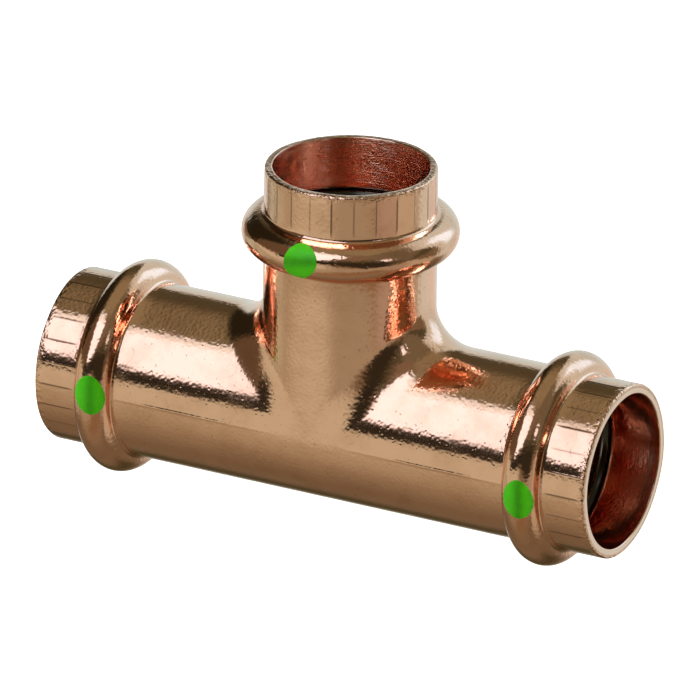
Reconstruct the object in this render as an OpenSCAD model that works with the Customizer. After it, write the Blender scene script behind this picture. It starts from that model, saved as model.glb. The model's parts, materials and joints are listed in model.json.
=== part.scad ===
// Press fit tee for copper tube, three equal sockets with seal rings.
// Lies flat as it comes to rest: run along X, branch toward +Y, up is +Z.
// The origin is at the middle of the footprint, on the surface it rests on.

/* [Tube] */
// Outside diameter of the tube that goes in (mm)
tube_od = 22; // [18:0.1:28]
// Gap around the tube in a socket, on the radius (mm)
tube_gap = 0.1; // [0.08:0.01:0.3]
// Depth that the tube goes in before it meets the stop (mm)
insertion = 22.5; // [20:0.5:26]
// Width of the shoulder that stops the tube, on the radius (mm)
stop_step = 0.45; // [0.3:0.05:0.8]

/* [Body] */
// Straight length of the run from the corner's rounding to each stop (mm)
run_neck = 7.7; // [5:0.05:30]
// Straight length of the branch from the corner's rounding to its stop (mm)
branch_neck = 1.2; // [0.5:0.05:30]
// Wall of the run's lips in front of their beads (mm)
lip_wall = 1.4; // [1.2:0.05:1.6]
// How much thinner the wall of the branch is, as it is drawn out of the run (mm)
branch_thin = 0.3; // [0.1:0.05:0.3]
// Step up from a lip to the body behind its bead, on the radius (mm)
body_step = 0.05; // [0.05:0.05:0.3]
// Rounding of a mouth's outside edge (mm)
rim_round = 0.35; // [0.2:0.05:0.5]
// Lead-in chamfer of a mouth's inside edge (mm)
rim_lead = 0.15; // [0.1:0.05:0.3]

/* [Seal and bead] */
// Thickness of the seal ring's section (mm)
seal_section = 3.15; // [2.9:0.05:3.4]
// How far the seal ring stands into the socket, on the radius (mm)
seal_proud = 0.06; // [0.03:0.01:0.09]
// Gap between the seal ring and the inside of its bead (mm)
seal_gap = 0.05; // [0.04:0.01:0.1]
// Wall of a bead, which its forming thins (mm)
bead_wall = 1.15; // [1:0.05:1.4]
// Rounding of the edges between a bore and its seal chamber (mm)
chamber_edge = 1; // [0.6:0.1:1.4]
// Mouth to the middle of the bead (mm)
bead_at = 9.7; // [8:0.05:11]
// Outside fillet where the bead meets the lip and the body (mm)
root_fillet = 0.6; // [0.4:0.05:0.8]

/* [Crotch] */
// Outside radius in the corner between run and branch, at the sides (mm)
crotch_round = 5.75; // [4:0.25:7]
// Inside radius in the same corner (mm)
inner_round = 3; // [2:0.25:4]
// How fast both radii shrink towards the flat faces: 1 with the tube's width, less keeps them longer
crotch_taper = 0.4; // [0.3:0.05:1]

/* [Mark] */
// Diameter of the paint dot on each bead (mm)
mark_d = 5; // [3:0.1:5.1]
// Thickness of the paint (mm)
mark_t = 0.08; // [0.05:0.01:0.2]

/* [Hidden] */
$fn = 96;
copper = [0.78, 0.46, 0.30];
rubber = [0.03, 0.03, 0.03];
green = [0.20, 0.62, 0.09];

socket_r = tube_od / 2 + tube_gap;
lip_r = socket_r + lip_wall;
body_r = lip_r + body_step;
flow_r = socket_r - stop_step;
seal_r = seal_section / 2;
chamber_r = seal_r + seal_gap;
bead_round = chamber_r + bead_wall;
bead_mid_r = socket_r - seal_proud + seal_r;
bead_r = bead_mid_r + bead_round;
run_reach = flow_r + inner_round + run_neck + insertion;
branch_reach = flow_r + inner_round + branch_neck + insertion;
over = 1;
sink = 0.1;
turns = 28;
steps = 10;

// Half section of the flank between a straight wall and the round of a bead or its chamber, in the plane of
// the axis with the bead's middle at height 0. A circle of radius fillet touches both and hollows the corner.
module flank(wall_r, round, fillet) {
    mid = [wall_r + fillet, sqrt(pow(round + fillet, 2) - pow(bead_mid_r - wall_r - fillet, 2))];
    centre = [bead_mid_r, 0];
    meet = centre + (mid - centre) * round / (round + fillet);
    below = wall_r - lip_wall / 2;
    difference() {
        polygon([[wall_r, mid[1]], [below, mid[1]], [below, 0], centre, meet]);
        translate(mid) circle(r = fillet);
    }
}

// Outside of one socket as a solid of revolution: lip, bead and the bead's flanks, axis on Z, mouth at reach.
// Lip and body are smaller by thin, the bead stays.
module socket_outside(reach, thin) {
    lip = lip_r - thin;
    translate([0, 0, reach - bead_at]) rotate_extrude() {
        translate([0, -bead_round]) square([lip, bead_round + bead_at - rim_round]);
        square([lip - rim_round, bead_at]);
        translate([lip - rim_round, bead_at - rim_round]) circle(r = rim_round);
        translate([bead_mid_r, 0]) circle(r = bead_round);
        flank(lip, bead_round, root_fillet);
        mirror([0, 1]) flank(lip + body_step, bead_round, root_fillet);
    }
}

// Space inside one socket: lead-in, tube bore down to the stop and the seal's chamber with its rounded edges.
module socket_inside(reach) {
    translate([0, 0, reach - insertion]) cylinder(r = socket_r, h = insertion + over);
    translate([0, 0, reach - rim_lead])
        cylinder(r1 = socket_r, r2 = socket_r + rim_lead + over, h = rim_lead + over);
    translate([0, 0, reach - bead_at]) rotate_extrude() {
        translate([bead_mid_r, 0]) circle(r = chamber_r);
        flank(socket_r, chamber_r, chamber_edge);
        mirror([0, 1]) flank(socket_r, chamber_r, chamber_edge);
    }
}

// Rounding between run and branch on the +X side. At each turn a around the tubes an arc of radius f, which
// shrinks towards the flat faces, leaves the run and joins the branch, whose radius is smaller by thin. It
// lies a hair inside both tubes where it leaves them.
module crotch(r, thin, round) {
    q = r - sink;
    points = concat(
        [[0, 0, -q]],
        [for (i = [1:turns - 1])
            let (a = -90 + 180 * i / turns, h = q * cos(a), f = round * pow(cos(a), crotch_taper))
            each concat([[h / 2, h / 2, q * sin(a)]],
                [for (j = [0:steps]) let (t = 90 * j / steps, e = q - thin * pow(cos(t), 2))
                    [e * cos(a) + f * (1 - cos(t)), h + f * (1 - sin(t)), e * sin(a)]])],
        [[0, 0, q]]);
    n = steps + 2;
    last = len(points) - 1;
    function at(i, j) = 1 + (i - 1) * n + j % n;
    polyhedron(points, concat(
        [for (j = [0:n - 1]) [0, at(1, j + 1), at(1, j)]],
        [for (i = [1:turns - 2], j = [0:n - 1]) each [
            [at(i, j), at(i + 1, j + 1), at(i + 1, j)], [at(i, j), at(i, j + 1), at(i + 1, j + 1)]]],
        [for (j = [0:n - 1]) [last, at(turns - 1, j), at(turns - 1, j + 1)]]));
}

// Turn a child that points up Z from the middle of the tee along an arm.
module to_right() { rotate([0, 90, 0]) children(); }
module to_left() { rotate([0, -90, 0]) children(); }
module to_branch() { rotate([-90, 0, 0]) children(); }
// Moves the middle of the tee from the origin to its place above the footprint.
module lay() { translate([0, -(branch_reach - bead_r) / 2, bead_r]) children(); }

// The formed copper body: outside less inside.
module tee_body() {
    color(copper) lay() difference() {
        union() {
            to_right() cylinder(r = body_r, h = 2 * (run_reach - bead_at), center = true);
            to_branch() cylinder(r = body_r - branch_thin, h = branch_reach - bead_at);
            to_right() socket_outside(run_reach, 0);
            to_left() socket_outside(run_reach, 0);
            to_branch() socket_outside(branch_reach, branch_thin);
            crotch(body_r, branch_thin, crotch_round);
            mirror([1, 0, 0]) crotch(body_r, branch_thin, crotch_round);
        }
        to_right() cylinder(r = flow_r, h = 2 * run_reach, center = true);
        to_branch() cylinder(r = flow_r, h = branch_reach);
        crotch(flow_r, 0, inner_round);
        mirror([1, 0, 0]) crotch(flow_r, 0, inner_round);
        to_right() socket_inside(run_reach);
        to_left() socket_inside(run_reach);
        to_branch() socket_inside(branch_reach);
    }
}

// Round-section rubber ring that sits in a bead.
module seal(reach) {
    color(rubber) translate([0, 0, reach - bead_at]) rotate_extrude()
        translate([bead_mid_r, 0]) circle(r = seal_r);
}

// Thin round patch of paint on the crown of a bead. The arm points up Z and the patch faces +X.
module mark(reach) {
    color(green) translate([0, 0, reach - bead_at]) intersection() {
        difference() {
            rotate_extrude() translate([bead_mid_r, 0]) circle(r = bead_round + mark_t);
            rotate_extrude() translate([bead_mid_r, 0]) circle(r = bead_round);
        }
        translate([bead_mid_r, 0, 0]) rotate([0, 90, 0]) cylinder(d = mark_d, h = bead_r);
    }
}

module left_seal() { lay() to_left() seal(run_reach); }
module right_seal() { lay() to_right() seal(run_reach); }
module branch_seal() { lay() to_branch() seal(branch_reach); }
module left_mark() { lay() to_left() mark(run_reach); }
module right_mark() { lay() to_right() rotate([0, 0, 180]) mark(run_reach); }
module branch_mark() { lay() to_branch() rotate([0, 0, -90]) mark(branch_reach); }

tee_body();
left_seal();
right_seal();
branch_seal();
left_mark();
right_mark();
branch_mark();
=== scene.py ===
import json
import math

import bmesh
import bpy
import numpy as np
from bpy.props import FloatProperty, FloatVectorProperty, IntProperty, PointerProperty
from bpy.types import NodeSocket, Operator, Panel, PropertyGroup
from mathutils import Matrix, Vector


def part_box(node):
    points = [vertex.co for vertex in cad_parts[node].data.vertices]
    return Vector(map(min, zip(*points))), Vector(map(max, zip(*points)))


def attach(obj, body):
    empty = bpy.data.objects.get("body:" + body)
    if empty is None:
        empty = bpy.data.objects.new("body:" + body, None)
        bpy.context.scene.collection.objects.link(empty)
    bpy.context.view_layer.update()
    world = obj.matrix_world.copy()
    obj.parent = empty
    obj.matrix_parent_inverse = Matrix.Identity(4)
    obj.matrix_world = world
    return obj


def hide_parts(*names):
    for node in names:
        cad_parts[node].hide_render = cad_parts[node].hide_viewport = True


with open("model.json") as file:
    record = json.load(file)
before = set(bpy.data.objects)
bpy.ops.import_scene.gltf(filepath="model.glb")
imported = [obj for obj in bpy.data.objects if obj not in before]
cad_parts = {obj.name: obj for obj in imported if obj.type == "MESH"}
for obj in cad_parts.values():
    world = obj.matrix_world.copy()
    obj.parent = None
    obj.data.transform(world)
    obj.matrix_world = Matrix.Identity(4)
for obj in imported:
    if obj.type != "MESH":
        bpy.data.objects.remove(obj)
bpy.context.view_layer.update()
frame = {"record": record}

bl_info = {
    "name": "Press Fit Tee",
    "version": (1, 0, 0),
    "blender": (4, 5, 0),
    "location": "View3D > Sidebar > Press Tee",
    "description": "Copper press fit tee with its seal rings, paint dots and studio",
    "category": "Add Mesh",
}

MM = 0.001

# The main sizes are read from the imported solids: the beads give the middle of the tee and its height, the
# mouths the reach of the arms, and a seal ring the place and size of the bead around it.
BODY_LOW, BODY_HIGH = (np.array(c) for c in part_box("tee_body"))
SEAL_LOW, SEAL_HIGH = (np.array(c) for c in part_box("right_seal"))
BEAD_R = float(BODY_HIGH[2] - BODY_LOW[2]) / 2
MIDDLE = np.array([0.0, BODY_LOW[1] + BEAD_R, BODY_LOW[2] + BEAD_R])
RUN_REACH = float(BODY_HIGH[0])
BRANCH_REACH = float(BODY_HIGH[1] - MIDDLE[1])
SEAL_R = float(SEAL_HIGH[0] - SEAL_LOW[0]) / 2
BEAD_MID_R = float(SEAL_HIGH[2] - SEAL_LOW[2]) / 2 - SEAL_R
BEAD_ROUND = BEAD_R - BEAD_MID_R
BEAD_SETBACK = RUN_REACH - float(SEAL_HIGH[0] + SEAL_LOW[0]) / 2
RIGHT_SOCKET = next(m for m in frame["record"]["mounts"] if m["name"] == "right_socket")
SOCKET_R = RIGHT_SOCKET["dims"]["r_mm"] * MM

# Each arm's axis, 0 for the run and 1 for the branch, and its sign along that axis. By the axis, the
# distance from the middle of the tee to the middle of the bead. By the arm, a number that makes its small
# forms differ.
ARMS = {"left": (0, -1), "right": (0, 1), "branch": (1, 1)}
BEAD_AT = (RUN_REACH - BEAD_SETBACK, BRANCH_REACH - BEAD_SETBACK)
PHASES = {"left": 2.9, "right": 0.4, "branch": 5.1}


def linear(code):
    """A colour written as an sRGB hex value, as linear red, green and blue."""
    srgb = np.array([int(code[i:i + 2], 16) for i in (1, 3, 5)]) / 255
    rgb = np.where(srgb <= 0.04045, srgb / 12.92, ((srgb + 0.055) / 1.055) ** 2.4)
    return tuple(float(v) for v in rgb)


def length(name, description, default):
    """A property for a length in metres."""
    return FloatProperty(name=name, description=description, default=default, unit="LENGTH", precision=5)


def colour(name, description, code):
    """A property for a colour, from its sRGB hex value."""
    return FloatVectorProperty(name=name, description=description, default=linear(code), subtype="COLOR",
                               min=0.0, max=1.0)


class TeeSizes(PropertyGroup):
    """Sizes of the copper body."""
    lip_wall: length("Lip wall", "Wall of the run's lips", 1.4 * MM)
    branch_thin: length("Branch thinning", "How much thinner the wall of the branch is", 0.3 * MM)
    bead_wall: length("Bead wall", "Wall of a bead", 1.15 * MM)
    body_step: length("Body step", "Step from the lip up to the body behind the bead", 0.05 * MM)
    root_fillet: length("Root fillet", "Outside fillet at both feet of a bead", 0.6 * MM)
    chamber_edge: length("Chamber edge", "Rounding of the edges between bore and seal chamber", 1.0 * MM)
    rim_round: length("Rim round", "Rounding of the mouth's outside edge", 0.35 * MM)
    rim_lead: length("Rim lead", "Rounding of the mouth's inside edge", 0.15 * MM)
    insertion: length("Insertion", "Depth from the mouth to the tube stop", 22.5 * MM)
    stop_step: length("Stop step", "Width of the shoulder that stops the tube", 0.45 * MM)
    crotch_round: length("Crotch round", "Outside radius between run and branch, at the sides", 5.75 * MM)
    crotch_taper: FloatProperty(
        name="Crotch taper", description="How fast the rounding narrows from the sides to the flat faces",
        default=0.4, min=0.1, max=1.0)
    inner_round: length("Inner round", "Inside radius between run and branch", 3.0 * MM)
    ridge_count: IntProperty(
        name="Ridges", description="Fine ridges around each lip, left by the forming jaws",
        default=24, min=4)
    ridge_height: length("Ridge height", "How far a lip ridge stands out", 0.04 * MM)
    ridge_width: length("Ridge width", "Half width of a lip ridge", 0.11 * MM)
    seam_height: length("Seam height", "How far the die seam along the run stands out", 0.075 * MM)


class DotSizes(PropertyGroup):
    """Sizes of the paint dots."""
    across: length("Across", "Width of the pad that dabs a dot, along the arm", 4.35 * MM)
    around: length("Around", "Length of a dot around its bead", 5.8 * MM)
    thickness: length("Thickness", "Thickness of the paint at the middle", 0.07 * MM)


class TeeColours(PropertyGroup):
    """Colours of the three materials."""
    copper: colour("Copper", "Reflection colour of the clean copper", "#F6B797")
    tarnish: colour("Tarnish", "Colour of the thin tarnish in specks and patches", "#BE8058")
    bore: colour("Bore", "Reflection colour of the turned bores", "#F7BFA4")
    inside: colour("Inside", "Reflection colour of the dull inside behind the tube stops", "#7A4630")
    soil: colour("Jaw marks", "Colour of the dark lines that the jaws left on the lips", "#4A3020")
    rubber: colour("Seal rubber", "Colour of the seal rings", "#0C0C0B")
    paint: colour("Green paint", "Colour of the paint dots", "#4EBF08")


# Rows of points on the stretches of a socket's section, then on the tubes, by the arm's axis and by 0 for
# the outside or 1 for the inside, and on the rounding between run and branch.
FILLET_ROWS, BEAD_ROWS, LIP_ROWS, RIM_ROWS = 7, 25, 7, 9
FACE_ROWS, LEAD_ROWS, BORE_ROWS, CHAMBER_ROWS = 4, 5, 5, 13
DEPTH_ROWS, SOFT_ROWS, STOP_ROWS = 4, 3, 2
TUBE_ROWS = {(0, 0): 7, (0, 1): 4, (1, 0): 5, (1, 1): 3}
CORNER_ROWS, INNER_CORNER_ROWS = 22, 10
# Columns beside a ridge, as shares of the way to the next ridge, and the slack in degrees at a half
# turn's ends.
RIDGE_COLUMNS = np.array([0.028, 0.056, 0.09, 0.16, 0.33])
ANGLE_SLACK = 1e-6

# Softening of the tube stop's two edges, and the stretch of the branch over which its wall thins.
STOP_SOFT = 0.1 * MM
THIN_SPAN = (0.0, 20 * MM)
# The small forms start and end within spans. Those of the waves and the seam are counted from the middle
# of the tee, and those of the ridges, the cut and the rim from the middle of the bead.
WAVE_HEIGHT = 0.006 * MM
WAVE_STEPS = (1.9 * MM, 3.1 * MM)
WAVE_START = (20 * MM, 24 * MM)
SEAM_HALF_WIDTH = 0.2 * MM
SEAM_START, SEAM_END = (6 * MM, 15 * MM), (30 * MM, 31 * MM)
RIDGE_START = (3.3 * MM, 4.4 * MM)
RIDGE_END = (BEAD_SETBACK - 0.9 * MM, BEAD_SETBACK - 0.1 * MM)
# The lowest ridge as a share of the tallest, and the steps of the sine that varies them.
RIDGE_LEAST = 0.44
RIDGE_STEP, RIDGE_PHASE_STEP = 2.4, 1.7
# The cut leaves the mouth's edge uneven by two sines, the second one weaker.
CUT_UNEVEN, CUT_SECOND = 0.035 * MM, 0.6
CUT_START = (BEAD_SETBACK - 1.2 * MM, BEAD_SETBACK)
RIM_START = (BEAD_SETBACK - 0.75 * MM, BEAD_SETBACK - 0.25 * MM)
# How strongly the turned rings show in each bore, and where they fade out in the plain inside of the run.
BRANCH_TURNED, RUN_TURNED = 1.0, 0.15
TURNED_END = (8 * MM, 16 * MM)

# What the body's points carry for its material: the place along the arm, and how far each point belongs
# to the inside, the cut rim, a lip ridge and the turned bore.
MASKS = ("along", "bore", "rim", "ridge", "turned")


def arc(mid, radius, start, end, count):
    """Points of a circular arc in the plane of (along the arm, out from its axis), between two angles in
    degrees counted from the direction of the mouth towards the outside."""
    a = np.radians(np.linspace(start, end, count))
    return np.stack([mid[0] + radius * np.cos(a), mid[1] + radius * np.sin(a)], 1)


def line(start, end, count):
    """Evenly spaced points from start to end."""
    return np.linspace(start, end, count)


def joined(parts):
    """One polyline from pieces that each start where the last one ended."""
    return np.concatenate([parts[0]] + [p[1:] for p in parts[1:]])


def smooth(span, x):
    """0 before the span, 1 past it and an S-curve within it."""
    low, high = span
    t = np.clip((x - low) / (high - low), 0, 1)
    return t * t * (3 - 2 * t)


def foot(wall_r, bead_round, fillet):
    """Where a fillet of a given radius touches both a straight wall and the round of the bead: its
    middle, counted from the bead's middle, and the angle of the line from the bead's middle to the
    fillet's middle."""
    rise = wall_r + fillet - BEAD_MID_R
    along = math.sqrt((bead_round + fillet) ** 2 - rise ** 2)
    return (along, wall_r + fillet), math.degrees(math.atan2(rise, along))


def socket_profile(size, thin):
    """Half section of one socket, from the foot of the bead on the body side, over the bead, along the
    lip, around the rim, back along the bore, through the seal's chamber and down to the stop. The bead's
    middle is at 0 and the mouth at the bead's setback. Returns the outside's points and the inside's."""
    lip_r = SOCKET_R + size.lip_wall - thin
    flow_r = SOCKET_R - size.stop_step
    chamber_r = BEAD_ROUND - size.bead_wall
    fillet, edge, rim, lead = size.root_fillet, size.chamber_edge, size.rim_round, size.rim_lead
    (body_at, body_up), body_tilt = foot(lip_r + size.body_step, BEAD_ROUND, fillet)
    (lip_at, lip_up), lip_tilt = foot(lip_r, BEAD_ROUND, fillet)
    (bore_at, bore_up), bore_tilt = foot(SOCKET_R, chamber_r, edge)
    mouth, soft = BEAD_SETBACK, STOP_SOFT
    stop = mouth - size.insertion
    outside = joined([
        arc((-body_at, body_up), fillet, -90, -body_tilt, FILLET_ROWS),
        arc((0, BEAD_MID_R), BEAD_ROUND, 180 - body_tilt, lip_tilt, BEAD_ROWS),
        arc((lip_at, lip_up), fillet, 180 + lip_tilt, 270, FILLET_ROWS),
        line((lip_at, lip_r), (mouth - rim, lip_r), LIP_ROWS),
        arc((mouth - rim, lip_r - rim), rim, 90, 0, RIM_ROWS),
    ])
    inside = joined([
        line(outside[-1], (mouth, SOCKET_R + lead), FACE_ROWS),
        arc((mouth - lead, SOCKET_R + lead), lead, 0, -90, LEAD_ROWS),
        line((mouth - lead, SOCKET_R), (bore_at, SOCKET_R), BORE_ROWS),
        arc((bore_at, bore_up), edge, 270, 180 + bore_tilt, FILLET_ROWS),
        arc((0, BEAD_MID_R), chamber_r, bore_tilt, 180 - bore_tilt, CHAMBER_ROWS),
        arc((-bore_at, bore_up), edge, -bore_tilt, -90, FILLET_ROWS),
        line((-bore_at, SOCKET_R), (stop + soft, SOCKET_R), DEPTH_ROWS),
        arc((stop + soft, SOCKET_R - soft), soft, 90, 180, SOFT_ROWS),
        line((stop, SOCKET_R - soft), (stop, flow_r + soft), STOP_ROWS),
        arc((stop - soft, flow_r + soft), soft, 0, -90, SOFT_ROWS),
    ])[1:]
    return outside, inside


def half_turn(count):
    """Angles of half a turn, in degrees from -90 to 90, crowded around the ridges, where a ridge has a
    handful of columns to stand on."""
    pitch = 360 / count
    offsets = np.concatenate([-RIDGE_COLUMNS[::-1], [0], RIDGE_COLUMNS, [0.5]]) * pitch
    angles = (np.arange(-90, 90 + pitch / 2, pitch)[:, None] + offsets).ravel()
    return angles[np.abs(angles) < 90 + ANGLE_SLACK]


class Sheet:
    """One of the three sheets that make the body. A sheet is a closed loop of rows, from mouth to mouth
    on the outside and back on the inside, by half a turn of columns. In its methods, axis is 0 for the
    run and 1 for the branch, facing is the side that the half turn is on, and bore is 0 outside and 1
    inside."""

    def __init__(self, size, angles):
        self.size, self.angles = size, angles
        self.c, self.s = np.cos(np.radians(angles)), np.sin(np.radians(angles))
        self.points = []
        self.masks = {name: [] for name in MASKS}

    def add(self, points, **masks):
        """Adds rows of points with their masks, which are numbers or arrays. One that isn't given is 0."""
        self.points.append(points)
        for name in MASKS:
            self.masks[name].append(np.broadcast_to(masks.get(name, 0.0), points.shape[:2]))

    def grid(self):
        """All rows as one array of points, and each mask as one array."""
        masks = {name: np.concatenate(rows) for name, rows in self.masks.items()}
        return np.concatenate(self.points), masks

    def tube_r(self, bore):
        """Radius of the run's tube, inside or outside."""
        if bore:
            return SOCKET_R - self.size.stop_step
        return SOCKET_R + self.size.lip_wall + self.size.body_step

    def root(self, axis):
        """Distance from the middle of the tee to the foot of the bead, where the plain tube ends
        outside."""
        wall_r = self.tube_r(0) - self.size.branch_thin * axis
        (along, _), _ = foot(wall_r, BEAD_ROUND, self.size.root_fillet)
        return BEAD_AT[axis] - along

    def stop(self, axis):
        """Distance from the middle of the tee to the tube stop's foot, where the plain tube ends inside."""
        return BEAD_AT[axis] + BEAD_SETBACK - self.size.insertion - STOP_SOFT

    def rounding(self, bore):
        """Radius of the rounding between branch and run, by the angle: full at the sides, gone at the flat
        faces, and narrowing with a power of the strip's width between them."""
        fillet = self.size.inner_round if bore else self.size.crotch_round
        return fillet * self.c ** self.size.crotch_taper

    def leave(self, bore):
        """Distance from the middle of the tee at which a tube leaves the rounding, by the angle."""
        return self.c * self.tube_r(bore) + self.rounding(bore)

    def thinned(self, axis, along, bore):
        """How much smaller the outside is along the branch: nothing in the middle of the tee, and all of
        the branch's thinning past the span."""
        return self.size.branch_thin * smooth(THIN_SPAN, along) * (1 - bore) * axis

    def waves(self, a, along, phase):
        """Slight waviness of the formed skin at the sockets: the sum of two sines that wind around the
        arm."""
        first, second = WAVE_STEPS
        wave = np.sin(2 * a + phase + along / first) + np.sin(3 * a - phase + along / second)
        return WAVE_HEIGHT * wave * smooth(WAVE_START, np.abs(along))

    def seam(self, away, radius):
        """The die seam along the top and the bottom of the run: a bell curve over the distance around the
        tube from its highest or lowest line, which rises beside the branch and ends at the bead's
        foot."""
        off = np.radians(90 - np.abs(self.angles)) * radius
        reach = smooth(SEAM_START, away) * (1 - smooth(SEAM_END, away))
        return self.size.seam_height * np.exp(-(off / SEAM_HALF_WIDTH) ** 2) * reach

    def ridges(self, turn, past_bead, radius, phase):
        """Fine ridges along a lip, from 0 to 1: bell curves over the distance around the lip from evenly
        spaced lines, with heights that vary by a sine, which fade out at the bead and at the rim."""
        count = self.size.ridge_count
        pitch = 360 / count
        place = np.round(turn / pitch)
        off = np.radians(turn - place * pitch) * radius
        swing = np.sin(RIDGE_STEP * np.mod(place, count) + RIDGE_PHASE_STEP * phase)
        tall = 1 - (1 - RIDGE_LEAST) * (1 - swing) / 2
        reach = smooth(RIDGE_START, past_bead) * (1 - smooth(RIDGE_END, past_bead))
        return tall * np.exp(-(off / self.size.ridge_width) ** 2) * reach

    def arm(self, axis, facing, along, radius, bore, phase, rim=None):
        """Rows around an arm: each point lies along the arm's axis by one array and out from it by the
        other. Outside, the skin's small forms move it out a little more. At the mouth, the cut moves it
        back."""
        shape = (len(along), len(self.angles))
        along, radius = (np.broadcast_to(v if v.ndim == 2 else v[:, None], shape) for v in (along, radius))
        turn = np.mod(np.where(facing > 0, self.angles, 180 - self.angles), 360)
        a = np.radians(turn)
        away = np.abs(along)
        past_bead = away - BEAD_AT[axis]
        out, ridge = np.zeros(shape), 0.0
        if not bore:
            out = out + self.waves(a, along, phase)
        if not bore and axis == 0:
            out = out + self.seam(away, radius)
        if not bore and rim is not None:
            ridge = self.ridges(turn, past_bead, radius, phase)
            out = out + self.size.ridge_height * ridge
        cut = np.sin(3 * a + phase) + CUT_SECOND * np.sin(7 * a + 2 * phase) - (1 + CUT_SECOND)
        moved = along + np.sign(along) * CUT_UNEVEN * cut * smooth(CUT_START, past_bead)
        across = facing * self.c * (radius + out)
        up = self.s * (radius + out)
        points = [across, moved, up] if axis else [moved, across, up]
        # the branch's bore is turned coarsely and the run's finely, but not the run's inside behind the
        # stops
        turned = bore * (BRANCH_TURNED if axis else RUN_TURNED)
        if rim is None and axis == 0:
            turned = turned * (1 - smooth(TURNED_END, away))
        self.add(np.stack(points, -1), along=along, bore=bore, rim=0.0 if rim is None else rim[:, None],
                 ridge=ridge, turned=turned)

    def socket(self, axis, sign, facing, phase, to_mouth):
        """Rows of one socket, from the body over the bead and the lip and back inside to the stop, or the
        other way round."""
        outside, inside = socket_profile(self.size, self.size.branch_thin * axis)
        parts = [(outside, 0), (inside, 1)]
        for profile, bore in parts if to_mouth else parts[::-1]:
            profile = profile if to_mouth else profile[::-1]
            rim = smooth(RIM_START, profile[:, 0]) * (1 - bore)
            self.arm(axis, facing, sign * (BEAD_AT[axis] + profile[:, 0]), profile[:, 1], bore, phase, rim)

    def straight(self, axis, facing, start, end, bore, phase):
        """Rows of plain tube between two places along an arm, either of which may follow the angle."""
        share = np.linspace(0, 1, TUBE_ROWS[axis, bore] + 2)[1:-1, None]
        start, end = np.broadcast_to(start, self.c.shape), np.broadcast_to(end, self.c.shape)
        along = start + (end - start) * share
        self.arm(axis, facing, along, self.tube_r(bore) - self.thinned(axis, along, bore), bore, phase)

    def centre(self, bore):
        """One row around the back of the run, in the middle of the tee."""
        self.arm(0, -1, np.zeros(1), np.full(1, self.tube_r(bore)), bore, 0.0)

    def corner(self, side, bore):
        """Rows of the rounding between branch and run, outside from the branch to the run and inside
        back. In each slice parallel to the plane of the tee both tubes are strips, and an arc joins their
        edges."""
        t = np.linspace(0, math.pi / 2, INNER_CORNER_ROWS if bore else CORNER_ROWS)[:, None]
        t = t[::-1] if bore else t
        y = self.tube_r(bore) * self.c + self.rounding(bore) * (1 - np.sin(t))
        local_r = self.tube_r(bore) - self.thinned(1, y, bore) * np.cos(t) ** 2
        x = local_r * self.c + self.rounding(bore) * (1 - np.cos(t))
        points = np.stack([side * x, y, local_r * self.s], -1)
        self.add(points, along=np.where(t > math.pi / 4, x, y), bore=bore, turned=bore * RUN_TURNED)


def crotch_sheet(size, angles, side):
    """Half of one run arm and half of the branch, with the rounding between them, outside and inside."""
    sheet = Sheet(size, angles)
    run, branch = PHASES["right" if side > 0 else "left"], PHASES["branch"]
    sheet.corner(side, 0)
    sheet.straight(0, 1, side * sheet.leave(0), side * sheet.root(0), 0, run)
    sheet.socket(0, side, 1, run, True)
    sheet.straight(0, 1, side * sheet.stop(0), side * sheet.leave(1), 1, run)
    sheet.corner(side, 1)
    sheet.straight(1, side, sheet.leave(1), sheet.stop(1), 1, branch)
    sheet.socket(1, 1, side, branch, False)
    sheet.straight(1, side, sheet.root(1), sheet.leave(0), 0, branch)
    return sheet.grid()


def back_sheet(size, angles):
    """The half of the run that faces away from the branch, outside and inside."""
    sheet = Sheet(size, angles)
    right, left = PHASES["right"], PHASES["left"]
    sheet.centre(0)
    sheet.straight(0, -1, 0.0, sheet.root(0), 0, right)
    sheet.socket(0, 1, -1, right, True)
    sheet.straight(0, -1, sheet.stop(0), 0.0, 1, right)
    sheet.centre(1)
    sheet.straight(0, -1, 0.0, -sheet.stop(0), 1, left)
    sheet.socket(0, -1, -1, left, False)
    sheet.straight(0, -1, -sheet.root(0), 0.0, 0, left)
    return sheet.grid()


def grid_faces(rows, columns, wrap_rows, wrap_columns, first=0):
    """Corners of the quads of a grid of rows by columns that may close on itself either way."""
    i = np.arange(rows if wrap_rows else rows - 1)[:, None]
    j = np.arange(columns if wrap_columns else columns - 1)[None, :]
    ni, nj = (i + 1) % rows, (j + 1) % columns
    quads = np.stack([i * columns + j, ni * columns + j, ni * columns + nj, i * columns + nj], -1)
    return quads.reshape(-1, 4) + first


# Points closer than the first distance become one, and edges shorter than the second are taken out.
WELD, SLIVER = 3e-7, 1e-7


def piece(name, points, faces, material, attributes=None):
    """A closed, smooth mesh object at the origin. Doubles at seams and poles are merged and normals turned
    out."""
    mesh = bpy.data.meshes.new(name)
    mesh.from_pydata(points.tolist(), [], faces.tolist())
    for key, values in (attributes or {}).items():
        mesh.attributes.new(key, "FLOAT", "POINT").data.foreach_set("value", values.astype(np.float32))
    work = bmesh.new()
    work.from_mesh(mesh)
    bmesh.ops.remove_doubles(work, verts=work.verts, dist=WELD)
    bmesh.ops.dissolve_degenerate(work, edges=work.edges, dist=SLIVER)
    bmesh.ops.recalc_face_normals(work, faces=work.faces)
    if work.calc_volume(signed=True) < 0:
        bmesh.ops.reverse_faces(work, faces=work.faces)
    if any(not edge.is_manifold for edge in work.edges):
        raise RuntimeError(f"{name} has an open edge")
    work.to_mesh(mesh)
    work.free()
    mesh.polygons.foreach_set("use_smooth", np.ones(len(mesh.polygons), dtype=bool))
    mesh.materials.append(material)
    ob = bpy.data.objects.new(name, mesh)
    bpy.context.scene.collection.objects.link(ob)
    return ob


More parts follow.
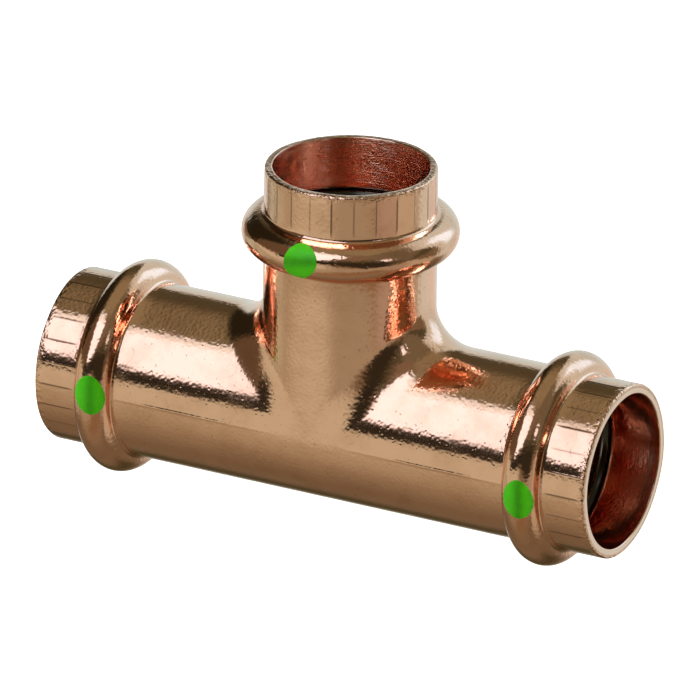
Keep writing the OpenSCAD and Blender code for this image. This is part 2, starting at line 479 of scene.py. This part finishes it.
def add(tree, kind, inputs=None, **settings):
    """Adds one node. Settings are the node's own, and inputs go to its sockets, as values or as links. A
    mix of colours has its share at socket 0, its colours at 6 and 7 and its result at 2."""
    node = tree.nodes.new(kind)
    for key, value in settings.items():
        setattr(node, key, value)
    for key, value in (inputs or {}).items():
        if isinstance(value, NodeSocket):
            tree.links.new(value, node.inputs[key])
        else:
            node.inputs[key].default_value = value
    return node


def new_material(name):
    """An empty node material with its output."""
    material = bpy.data.materials.new(name)
    material.use_nodes = True
    material.node_tree.nodes.clear()
    return material, material.node_tree, material.node_tree.nodes.new("ShaderNodeOutputMaterial")


def opaque(rgb):
    """Red, green and blue with a full alpha, as a colour socket takes them."""
    return tuple(rgb) + (1.0,)


def drawn_copper(colours):
    """Drawn and formed copper: a bright pink mirror, broken up by the fine grain that forming raises,
    with small tarnish specks, turned rings in the bores and a rough cut rim."""
    material, tree, output = new_material("drawn_copper_bright")
    place = add(tree, "ShaderNodeTexCoord").outputs["Object"]
    along, bore, rim, ridge, turned = (
        add(tree, "ShaderNodeAttribute", attribute_name=name).outputs["Fac"] for name in MASKS)
    # a slow swell about 5 mm across, under the forming grain, about 0.5 mm across
    swell = add(tree, "ShaderNodeTexNoise", {"Vector": place, "Scale": 1 / (5 * MM), "Detail": 1.0})
    grain = add(tree, "ShaderNodeTexNoise", {"Vector": place, "Scale": 1 / (0.5 * MM), "Detail": 0.0})
    # small pits about 0.5 mm across and 0.9 mm apart
    pits = add(tree, "ShaderNodeTexVoronoi", {"Vector": place, "Scale": 1 / (0.9 * MM)})
    pitted = add(tree, "ShaderNodeMapRange", {
        "Value": pits.outputs["Distance"], "From Min": 0.0, "From Max": 0.3},
        interpolation_type="SMOOTHSTEP")
    # turned rings in the bore, which spread its reflections along the axis
    ring_gap, ring_length = 0.12 * MM, 4 * MM
    step = add(tree, "ShaderNodeMath", {0: along, 1: ring_length / ring_gap}, operation="MULTIPLY")
    rings = add(tree, "ShaderNodeTexNoise", {
        "Vector": place, "W": step.outputs[0], "Scale": 1 / ring_length, "Detail": 2.0, "Roughness": 0.6},
        noise_dimensions="4D")
    # nicks of the cut rim, about 0.8 mm across
    nicks = add(tree, "ShaderNodeTexNoise", {"Vector": place, "Scale": 1 / (0.8 * MM), "Detail": 2.0})
    # tarnish patches about 7 mm across and specks about 0.6 mm across
    patch = add(tree, "ShaderNodeTexNoise", {
        "Vector": place, "Scale": 1 / (7 * MM), "Detail": 4.0, "Roughness": 0.65})
    patchy = add(tree, "ShaderNodeMapRange", {
        "Value": patch.outputs["Fac"], "From Min": 0.45, "From Max": 0.75, "To Min": 0.0, "To Max": 0.35})
    speck = add(tree, "ShaderNodeTexNoise", {"Vector": place, "Scale": 1 / (0.6 * MM), "Detail": 1.0})
    specky = add(tree, "ShaderNodeMapRange", {
        "Value": speck.outputs["Fac"], "From Min": 0.72, "From Max": 0.78, "To Min": 0.0, "To Max": 0.6})
    # hairline scratches from handling, about 0.06 mm wide: short runs of the swell's contour lines
    hair = add(tree, "ShaderNodeMath", {0: swell.outputs["Fac"], 1: 0.5, 2: 0.005}, operation="COMPARE")
    where = add(tree, "ShaderNodeMapRange", {
        "Value": patch.outputs["Fac"], "From Min": 0.55, "From Max": 0.6, "To Min": 0.0, "To Max": 0.5})
    scratch = add(tree, "ShaderNodeMath", {0: hair.outputs[0], 1: where.outputs[0]}, operation="MULTIPLY")
    dull = patchy.outputs[0]
    for mark in (specky, scratch):
        dull = add(tree, "ShaderNodeMath", {0: dull, 1: mark.outputs[0]}, operation="MAXIMUM").outputs[0]
    # behind the run's tube stops the inside was never turned and is dull and dark from the forming heat
    plain = add(tree, "ShaderNodeMapRange", {
        "Value": turned, "From Min": 0.0, "From Max": RUN_TURNED, "To Min": 1.0, "To Max": 0.0})
    inner = add(tree, "ShaderNodeMath", {0: plain.outputs[0], 1: bore}, operation="MULTIPLY").outputs[0]
    # the turned bore is a little paler than the outside, and the jaws left a dark line along each ridge
    base = opaque(colours.copper)
    for share, rgb in ((dull, colours.tarnish), (bore, colours.bore), (ridge, colours.soil),
                       (inner, colours.inside)):
        base = add(tree, "ShaderNodeMix", {0: share, 6: base, 7: opaque(rgb)}, data_type="RGBA").outputs[2]
    # tarnish, the bore, the cut rim and most of all the inside are duller than the drawn outside
    rough = add(tree, "ShaderNodeMapRange", {
        "Value": dull, "From Min": 0.0, "From Max": 0.6, "To Min": 0.10, "To Max": 0.22}).outputs[0]
    for share, more in ((bore, 0.02), (rim, 0.08), (inner, 0.35)):
        rough = add(tree, "ShaderNodeMath", {0: share, 1: more, 2: rough},
                    operation="MULTIPLY_ADD").outputs[0]
    # each relief lies on the last one, with its strength and its height in mm
    normal = {}
    for relief, strength, height in ((swell.outputs["Fac"], 1.0, 0.02), (grain.outputs["Fac"], 1.0, 0.018),
                                     (pitted.outputs[0], 1.0, 0.012), (rings.outputs["Fac"], turned, 0.08),
                                     (nicks.outputs["Fac"], rim, 0.3)):
        bump = add(tree, "ShaderNodeBump", {
            "Height": relief, "Strength": strength, "Distance": height * MM, **normal})
        normal = {"Normal": bump.outputs[0]}
    shader = add(tree, "ShaderNodeBsdfPrincipled", {
        "Base Color": base, "Metallic": 1.0, "Roughness": rough, **normal})
    tree.links.new(shader.outputs[0], output.inputs["Surface"])
    return material


def moulded_rubber(colours):
    """Moulded seal rubber with a film of grease: near black, with a soft, slightly uneven and warm
    shine."""
    material, tree, output = new_material("moulded_seal_rubber")
    place = add(tree, "ShaderNodeTexCoord").outputs["Object"]
    # mould texture about 0.4 mm across, and grease that varies over about 4 mm
    skin = add(tree, "ShaderNodeTexNoise", {"Vector": place, "Scale": 1 / (0.4 * MM), "Detail": 2.0})
    film = add(tree, "ShaderNodeTexNoise", {"Vector": place, "Scale": 1 / (4 * MM), "Detail": 2.0})
    rough = add(tree, "ShaderNodeMapRange", {
        "Value": film.outputs["Fac"], "From Min": 0.35, "From Max": 0.65, "To Min": 0.12, "To Max": 0.24})
    bump = add(tree, "ShaderNodeBump", {
        "Height": skin.outputs["Fac"], "Strength": 1.0, "Distance": 0.004 * MM})
    shader = add(tree, "ShaderNodeBsdfPrincipled", {
        "Base Color": opaque(colours.rubber), "Roughness": rough.outputs[0], "IOR": 1.65,
        "Specular Tint": (1.0, 0.8, 0.6, 1.0), "Normal": bump.outputs[0]})
    tree.links.new(shader.outputs[0], output.inputs["Surface"])
    return material


def dabbed_paint(colours):
    """Enamel dabbed on by a pad: a bright green, thinner and darker in streaks, with a painted shade
    that darkens it in a band along the bead's crown."""
    material, tree, output = new_material("dabbed_green_enamel")
    place = add(tree, "ShaderNodeTexCoord").outputs["Object"]
    crown = add(tree, "ShaderNodeAttribute", attribute_name="crown").outputs["Fac"]
    # streaks about 1.5 mm across
    streak = add(tree, "ShaderNodeTexNoise", {"Vector": place, "Scale": 1 / (1.5 * MM), "Detail": 2.0})
    thin = add(tree, "ShaderNodeMapRange", {
        "Value": streak.outputs["Fac"], "From Min": 0.35, "From Max": 0.7, "To Min": 0.0, "To Max": 0.2})
    # the paint is thinner and darker in the streaks, and a painted shade darkens it along the bead's crown
    thin = add(tree, "ShaderNodeMath", {0: crown, 1: 0.8, 2: thin.outputs[0]}, operation="MULTIPLY_ADD",
               use_clamp=True)
    # the dark green serves both the thin streaks and the painted shade on the crown
    thin_and_shaded_green = tuple(0.5 * v for v in colours.paint)
    base = add(tree, "ShaderNodeMix", {
        0: thin.outputs[0], 6: opaque(colours.paint), 7: opaque(thin_and_shaded_green)}, data_type="RGBA")
    bump = add(tree, "ShaderNodeBump", {
        "Height": streak.outputs["Fac"], "Strength": 1.0, "Distance": 0.01 * MM})
    shader = add(tree, "ShaderNodeBsdfPrincipled", {
        "Base Color": base.outputs[2], "Roughness": 0.4, "Specular IOR Level": 0.15,
        "Normal": bump.outputs[0]})
    tree.links.new(shader.outputs[0], output.inputs["Surface"])
    return material


class TEE_OT_body(Operator):
    """Build the formed copper body"""
    bl_idname = "press_tee.body"
    bl_label = "Copper Body"

    def execute(self, context):
        size = context.scene.press_tee_sizes
        angles = half_turn(size.ridge_count)
        sheets = [crotch_sheet(size, angles, 1), crotch_sheet(size, angles, -1), back_sheet(size, angles)]
        points, faces, first = [], [], 0
        for grid, _ in sheets:
            rows, columns = grid.shape[:2]
            faces.append(grid_faces(rows, columns, True, False, first))
            points.append(grid.reshape(-1, 3) + MIDDLE)
            first += rows * columns
        attributes = {name: np.concatenate([masks[name].ravel() for _, masks in sheets]) for name in MASKS}
        ob = piece("copper_body", np.concatenate(points), np.concatenate(faces),
                   drawn_copper(context.scene.press_tee_colours), attributes)
        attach(ob, "root")
        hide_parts("tee_body")
        return {"FINISHED"}


def on_arm(name, along, radius, turn):
    """Points given along an arm from its bead's middle, out from its axis and by the turn from straight up
    towards the branch or, on the branch itself, towards the right."""
    axis, sign = ARMS[name]
    along = BEAD_AT[axis] + along
    across, up = radius * np.sin(turn), radius * np.cos(turn)
    points = [across, along, up] if axis else [sign * along, across, up]
    return np.stack(np.broadcast_arrays(*points), -1) + MIDDLE


# Points around a seal ring and around its section, the height of its flash line and the line's half width
# as a share of the section's radius, and how much smaller the section is to leave room for the flash.
SEAL_TURNS, SEAL_SIDES = 160, 40
FLASH_HEIGHT, FLASH_HALF_WIDTH, FLASH_ROOM = 0.025 * MM, 0.10, 0.01 * MM


class TEE_OT_seals(Operator):
    """Build the three rubber seal rings"""
    bl_idname = "press_tee.seals"
    bl_label = "Seal Rings"

    def execute(self, context):
        material = moulded_rubber(context.scene.press_tee_colours)
        turn = np.linspace(0, 2 * math.pi, SEAL_TURNS, endpoint=False)[:, None]
        around = np.linspace(0, 2 * math.pi, SEAL_SIDES, endpoint=False)[None, :]
        faces = grid_faces(SEAL_TURNS, SEAL_SIDES, True, True)
        # a ring of round section with a faint flash line along its inside and outside, where the mould
        # parts
        section = SEAL_R + FLASH_HEIGHT * np.exp(-(np.sin(around) / FLASH_HALF_WIDTH) ** 2) - FLASH_ROOM
        for name in ARMS:
            points = on_arm(name, section * np.sin(around), BEAD_MID_R + section * np.cos(around), turn)
            ob = piece(f"{name}_seal_ring", points.reshape(-1, 3), faces, material)
            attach(ob, "root")
            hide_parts(f"{name}_seal")
        return {"FINISHED"}


# How each dot was dabbed: the pad's lean in degrees towards the mouth and back around the bead, how far
# it was set down beside the bead's middle, its turn around the bead in degrees, how wide and how long it
# came out, how much it is sheared, and a number that varies its edge.
DABS = {
    "left": (-27, 22, 0.45 * MM, 3.7, 1.0, 1.0, 0.0, 0.3),
    "right": (27, 22, -0.4 * MM, -2.2, 1.0, 1.0, 0.0, 1.7),
    "branch": (20, 28, -0.43 * MM, 0.7, 1.17, 0.9, 0.18, 1.0),
}
# Rows of a dot, as shares of the way out from its middle: over the top to the edge, then back underneath.
DOT_TOP = np.concatenate([np.linspace(0, 0.9, 10), [0.95, 0.98, 1.0]])
DOT_FOOT = np.concatenate([[0.98], np.linspace(0.9, 0, 7)])
DOT_SIDES = 72
# How far the foot lies in the copper, how high the edge row lies as a share of the paint's thickness, and
# the power that keeps the top flat up to its edge.
DOT_SINK, DOT_EDGE, DOT_FLATNESS = 0.03 * MM, 0.3, 8
# Unevenness of a dot's edge by two sines, the steepest sine at which the pad still reaches the bead, and
# the half width of the painted shade along the crown, as shares of the dot.
EDGE_OVAL, EDGE_LOBES = 0.018, 0.014
STEEPEST, CROWN_SHADE_HALF_WIDTH = 0.985, 0.33


class TEE_OT_dots(Operator):
    """Build the three paint dots on the beads"""
    bl_idname = "press_tee.dots"
    bl_label = "Paint Dots"

    def execute(self, context):
        size = context.scene.press_tee_dots
        material = dabbed_paint(context.scene.press_tee_colours)
        out = np.concatenate([DOT_TOP, DOT_FOOT])[:, None]
        top = np.sqrt(1 - DOT_TOP ** DOT_FLATNESS) * size.thickness
        top[-1] = DOT_EDGE * size.thickness
        height = BEAD_ROUND + np.concatenate([top, np.full(len(DOT_FOOT), -DOT_SINK)])[:, None]
        around = np.linspace(0, 2 * math.pi, DOT_SIDES, endpoint=False)[None, :]
        faces = grid_faces(len(out), DOT_SIDES, False, True)
        for name, (lean, back, beside, turned, wide, long, shear, phase) in DABS.items():
            # an oval with a slightly uneven edge, pressed onto the bead's round from where the pad leans
            edge = 1 + EDGE_OVAL * np.sin(2 * around + phase) + EDGE_LOBES * np.sin(3 * around - 2 * phase)
            spread = out * edge
            length_out = spread * np.cos(around) * long * size.around / 2
            width_out = spread * np.sin(around) * wide * size.across / 2
            off = (beside + width_out + shear * length_out) / BEAD_ROUND
            tilt = math.radians(lean) + np.arcsin(np.clip(off, -STEEPEST, STEEPEST))
            sunk = BEAD_ROUND * (1 - np.cos(tilt)) * math.tan(math.radians(back))
            turn = math.radians(turned) + (length_out - sunk) / BEAD_R
            points = on_arm(name, height * np.sin(tilt), BEAD_MID_R + height * np.cos(tilt), turn)
            # painted shade: a band along the bead's crown, across the dot's middle, where the paint's
            # colour is darkened
            crown = np.exp(-(spread * np.sin(around) / CROWN_SHADE_HALF_WIDTH) ** 2)
            ob = piece(f"{name}_paint_dot", points.reshape(-1, 3), faces, material,
                       {"crown": crown.ravel()})
            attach(ob, "root")
            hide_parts(f"{name}_mark")
        return {"FINISHED"}


# The studio, as cards painted over each other around the part. A card has a left and a right end. Each
# end lies at a place along the run's direction, from -1 to 1, and spans from one turn to another, in
# degrees from the branch's direction towards straight up. Then come the card's linear colour, how soft
# its edges are in degrees and how soft its ends are.
CARDS = [
    ("room behind", (-1.3, 112, 158), (1.3, 112, 158), (0.340, 0.350, 0.260), 25, 0.1),
    ("room behind, right", (-0.25, 122, 156), (1.3, 122, 156), (0.263, 0.215, 0.131), 14, 0.15),
    ("left end above", (-1.3, 92, 190), (-0.84, 104, 178), (0.500, 0.600, 0.490), 10, 0.05),
    ("left end below", (-1.3, -190, -118), (-0.87, -172, -122), (0.529, 0.684, 0.582), 10, 0.05),
    ("right end above", (0.82, 122, 190), (1.3, 122, 190), (0.433, 0.435, 0.374), 10, 0.08),
    ("right end below", (0.69, -190, -118), (1.3, -190, -118), (0.529, 0.590, 0.487), 12, 0.08),
    ("screen foot", (-1.1, 88, 143), (0.1, 88, 132), (0.433, 0.472, 0.365), 12, 0.12),
    ("screen right", (-0.25, 84, 121), (0.95, 112, 129), (0.382, 0.419, 0.331), 7, 0.08),
    ("screen", (-1.1, 84, 124), (0.06, 85, 113), (0.605, 0.720, 0.615), 10, 0.2),
    ("shade in front", (-1.3, -66, 66), (1.3, -66, 66), (0.087, 0.094, 0.057), 4, 0.03),
    ("dark left end", (-1.3, -118, 14), (-0.56, -62, 10), (0.020, 0.021, 0.011), 9, 0.1),
    ("brown cloth", (-1.3, 12, 78), (-0.55, 16, 76), (0.130, 0.108, 0.068), 9, 0.04),
    ("front wall", (-0.46, -32, 22), (0.45, -36, 24), (0.282, 0.300, 0.196), 14, 0.08),
    ("front wall right", (0.42, -38, 40), (1.2, -30, 40), (0.178, 0.189, 0.129), 10, 0.1),
    ("side wall", (0.1, 20, 54), (0.55, 22, 50), (0.214, 0.192, 0.133), 9, 0.06),
    ("gap above", (-0.8, 79, 94), (0.32, 64, 80), (0.024, 0.025, 0.017), 3, 0.05),
    ("gap at the side", (0.22, 63, 81), (0.95, 58, 112), (0.033, 0.035, 0.023), 6, 0.06),
    ("soft box", (-0.55, 15.5, 74.5), (0.02, 24, 61), (1.425, 1.888, 2.435), 2.5, 0.02),
    ("soft box top", (0, 24, 61.5), (0.2, 30, 44), (1.425, 1.888, 2.435), 3, 0.025),
    ("soft box hem", (-0.55, 15.5, 22.5), (0.02, 24, 31), (1.000, 1.360, 1.560), 4, 0.02),
    ("table left", (-0.82, -123, -71), (-0.25, -124, -66), (0.650, 0.920, 0.970), 6, 0.05),
    ("table", (-0.3, -124, -65), (0.25, -122, -25), (0.650, 0.930, 0.980), 4, 0.03),
    ("table right", (0.2, -124, -27), (0.73, -123, -24), (0.680, 0.920, 0.940), 6, 0.05),
    ("bright table", (0.22, -88, -48), (0.56, -88, -42), (1.069, 1.770, 2.435), 8, 0.07),
    ("table far edge", (-0.85, -129, -98), (0.3, -127, -101), (0.760, 0.830, 0.790), 9, 0.06),
    ("side lamp", (0.76, 31, 43), (0.88, 31, 43), (1.425, 1.770, 2.165), 3, 0.03),
    ("floor shade", (-0.6, -156, -136), (0.38, -156, -134), (0.075, 0.072, 0.036), 10, 0.12),
]
# The cards that are lamps, how much brighter they get in deep reflections, the colour where no card is,
# and how strongly all of it lights what isn't a mirror.
LAMPS = ("soft box", "soft box top", "bright table", "side lamp")
LAMP_GAIN = 4.0
BEHIND = (0.19, 0.175, 0.116)
DIFFUSE_STRENGTH = 2.0


def studio_card(tree, turn, side, under, gain, left, right, rgb, soft, fade):
    """Paints one card over the colour under it: between its two long edges, which may slant from end to
    end, and between its ends. A lamp's colour grows by the gain."""
    limits = []
    for k, blur in ((1, math.radians(soft)), (2, -math.radians(soft))):
        edge = add(tree, "ShaderNodeMapRange", {
            "Value": side, "From Min": left[0], "From Max": right[0],
            "To Min": math.radians(left[k]), "To Max": math.radians(right[k])})
        past = add(tree, "ShaderNodeMath", {0: turn, 1: edge.outputs[0]}, operation="SUBTRACT")
        limits.append((past.outputs[0], -blur, blur))
    limits.append((side, left[0] - fade, left[0] + fade))
    limits.append((side, right[0] + fade, right[0] - fade))
    shares = [add(tree, "ShaderNodeMapRange", {"Value": value, "From Min": low, "From Max": high},
                  interpolation_type="SMOOTHSTEP").outputs[0] for value, low, high in limits]
    within = shares[0]
    for share in shares[1:]:
        within = add(tree, "ShaderNodeMath", {0: within, 1: share}, operation="MULTIPLY").outputs[0]
    shown = opaque(rgb)
    if gain:
        shown = add(tree, "ShaderNodeVectorMath", {0: rgb, "Scale": gain}, operation="SCALE").outputs[0]
    return add(tree, "ShaderNodeMix", {0: within, 6: under, 7: shown}, data_type="RGBA").outputs[2]


def studio_world():
    """Soft studio surroundings that only the metal's reflections and the diffuse light see. The camera sees
    plain white instead."""
    world = bpy.data.worlds.new("studio")
    world.use_nodes = True
    tree = world.node_tree
    tree.nodes.clear()
    place = add(tree, "ShaderNodeTexCoord").outputs["Generated"]
    direction = add(tree, "ShaderNodeSeparateXYZ", {0: place})
    turn = add(tree, "ShaderNodeMath", {0: direction.outputs["Z"], 1: direction.outputs["Y"]},
               operation="ARCTAN2").outputs[0]
    path = add(tree, "ShaderNodeLightPath")
    # the lamps are far brighter than a picture's white, which shows once the copper has dimmed them twice
    gain = add(tree, "ShaderNodeMapRange", {
        "Value": path.outputs["Ray Depth"], "From Min": 2.0, "From Max": 3.0, "To Min": 1.0,
        "To Max": LAMP_GAIN})
    studio = opaque(BEHIND)
    for name, *shape in CARDS:
        brighter = gain.outputs[0] if name in LAMPS else None
        studio = studio_card(tree, turn, direction.outputs["X"], studio, brighter, *shape)
    reflected = add(tree, "ShaderNodeBackground", {"Color": studio, "Strength": 1.0})
    diffused = add(tree, "ShaderNodeBackground", {"Color": studio, "Strength": DIFFUSE_STRENGTH})
    seen = add(tree, "ShaderNodeBackground", {"Color": (1, 1, 1, 1), "Strength": 1.0})
    lit = add(tree, "ShaderNodeMixShader", {
        0: path.outputs["Is Diffuse Ray"], 1: reflected.outputs[0], 2: diffused.outputs[0]})
    both = add(tree, "ShaderNodeMixShader", {
        0: path.outputs["Is Camera Ray"], 1: lit.outputs[0], 2: seen.outputs[0]})
    add(tree, "ShaderNodeOutputWorld", {"Surface": both.outputs[0]})
    return world


# The viewpoint, found by fitting the outline: how far from the middle of the tee and in which direction,
# the picture's turn, the focal length in pixels and where the middle lies in a picture 700 pixels wide.
VIEW = {"azimuth": 27.934, "elevation": 22.661, "roll": 0.773, "distance": 1.91805, "focal": 13581.0,
        "middle": (348.13, 411.23)}
PICTURE = 700
SENSOR_WIDTH = 36


def view_camera():
    """A camera that looks down on the lying tee. The angles are counted from straight up (the face with the
    dots) towards the right mouth, and from there towards the branch."""
    a, e, roll = (math.radians(VIEW[k]) for k in ("azimuth", "elevation", "roll"))
    focal = VIEW["focal"]
    back = Vector((math.sin(a) * math.cos(e), math.sin(e), math.cos(a) * math.cos(e)))
    level = Vector((math.cos(a), 0.0, -math.sin(a)))
    upright = back.cross(level)
    right = level * math.cos(roll) + upright * math.sin(roll)
    up = upright * math.cos(roll) - level * math.sin(roll)
    cx, cy = VIEW["middle"]
    forward = -back + right * (PICTURE / 2 - cx) / focal + up * (cy - PICTURE / 2) / focal
    z = -forward.normalized()
    x = up.cross(z).normalized()
    y = z.cross(x)
    data = bpy.data.cameras.new("camera")
    data.sensor_width = SENSOR_WIDTH
    data.lens = focal / PICTURE * SENSOR_WIDTH
    data.clip_start, data.clip_end = 0.01, 20
    camera = bpy.data.objects.new("camera", data)
    spot = Vector(MIDDLE) + back * VIEW["distance"]
    camera.matrix_world = Matrix.Translation(spot) @ Matrix((x, y, z)).transposed().to_4x4()
    bpy.context.scene.collection.objects.link(camera)
    bpy.context.scene.camera = camera


def pale_ground():
    """White studio sweep, lit through from below: it stays white with only a faint shade under the part."""
    material, tree, output = new_material("white_acrylic_lit")
    shader = add(tree, "ShaderNodeBsdfPrincipled", {
        "Base Color": opaque(linear("#F4F4F2")), "Roughness": 0.6, "Emission Color": (1, 1, 1, 1),
        "Emission Strength": 0.9})
    tree.links.new(shader.outputs[0], output.inputs["Surface"])
    half = 1.5
    corners = [(-half, -half, 0), (half, -half, 0), (half, half, 0), (-half, half, 0)]
    mesh = bpy.data.meshes.new("ground")
    mesh.from_pydata(corners, [], [(0, 1, 2, 3)])
    mesh.materials.append(material)
    ground = bpy.data.objects.new("ground", mesh)
    bpy.context.scene.collection.objects.link(ground)
    ground.visible_glossy = False


class TEE_OT_stage(Operator):
    """Set up the ground, the studio light and the camera"""
    bl_idname = "press_tee.stage"
    bl_label = "Stage"

    def execute(self, context):
        context.scene.view_settings.view_transform = "Standard"
        context.scene.cycles.glossy_bounces = 10
        context.scene.cycles.max_bounces = 12
        context.scene.world = studio_world()
        pale_ground()
        view_camera()
        return {"FINISHED"}


GROUPS = {"press_tee_sizes": TeeSizes, "press_tee_dots": DotSizes, "press_tee_colours": TeeColours}
OPERATORS = (TEE_OT_stage, TEE_OT_body, TEE_OT_seals, TEE_OT_dots)


class TEE_PT_panel(Panel):
    """Lists the pieces and their sizes"""
    bl_idname = "TEE_PT_panel"
    bl_label = "Press Fit Tee"
    bl_space_type = "VIEW_3D"
    bl_region_type = "UI"
    bl_category = "Press Tee"

    def draw(self, context):
        for operator in OPERATORS:
            self.layout.operator(operator.bl_idname)
        for name, group in GROUPS.items():
            box = self.layout.box()
            for key in group.__annotations__:
                box.prop(getattr(context.scene, name), key)


CLASSES = (*GROUPS.values(), *OPERATORS, TEE_PT_panel)


def register():
    """Registers the classes and gives the scene its sizes and colours."""
    for cls in CLASSES:
        bpy.utils.register_class(cls)
    for name, group in GROUPS.items():
        setattr(bpy.types.Scene, name, PointerProperty(type=group))


def unregister():
    """Takes back what register did."""
    for name in GROUPS:
        delattr(bpy.types.Scene, name)
    for cls in reversed(CLASSES):
        bpy.utils.unregister_class(cls)


def main():
    """Builds the stage and the pieces in order."""
    register()
    bpy.ops.press_tee.stage()
    bpy.ops.press_tee.body()
    bpy.ops.press_tee.seals()
    bpy.ops.press_tee.dots()


if __name__ == "__main__":
    main()
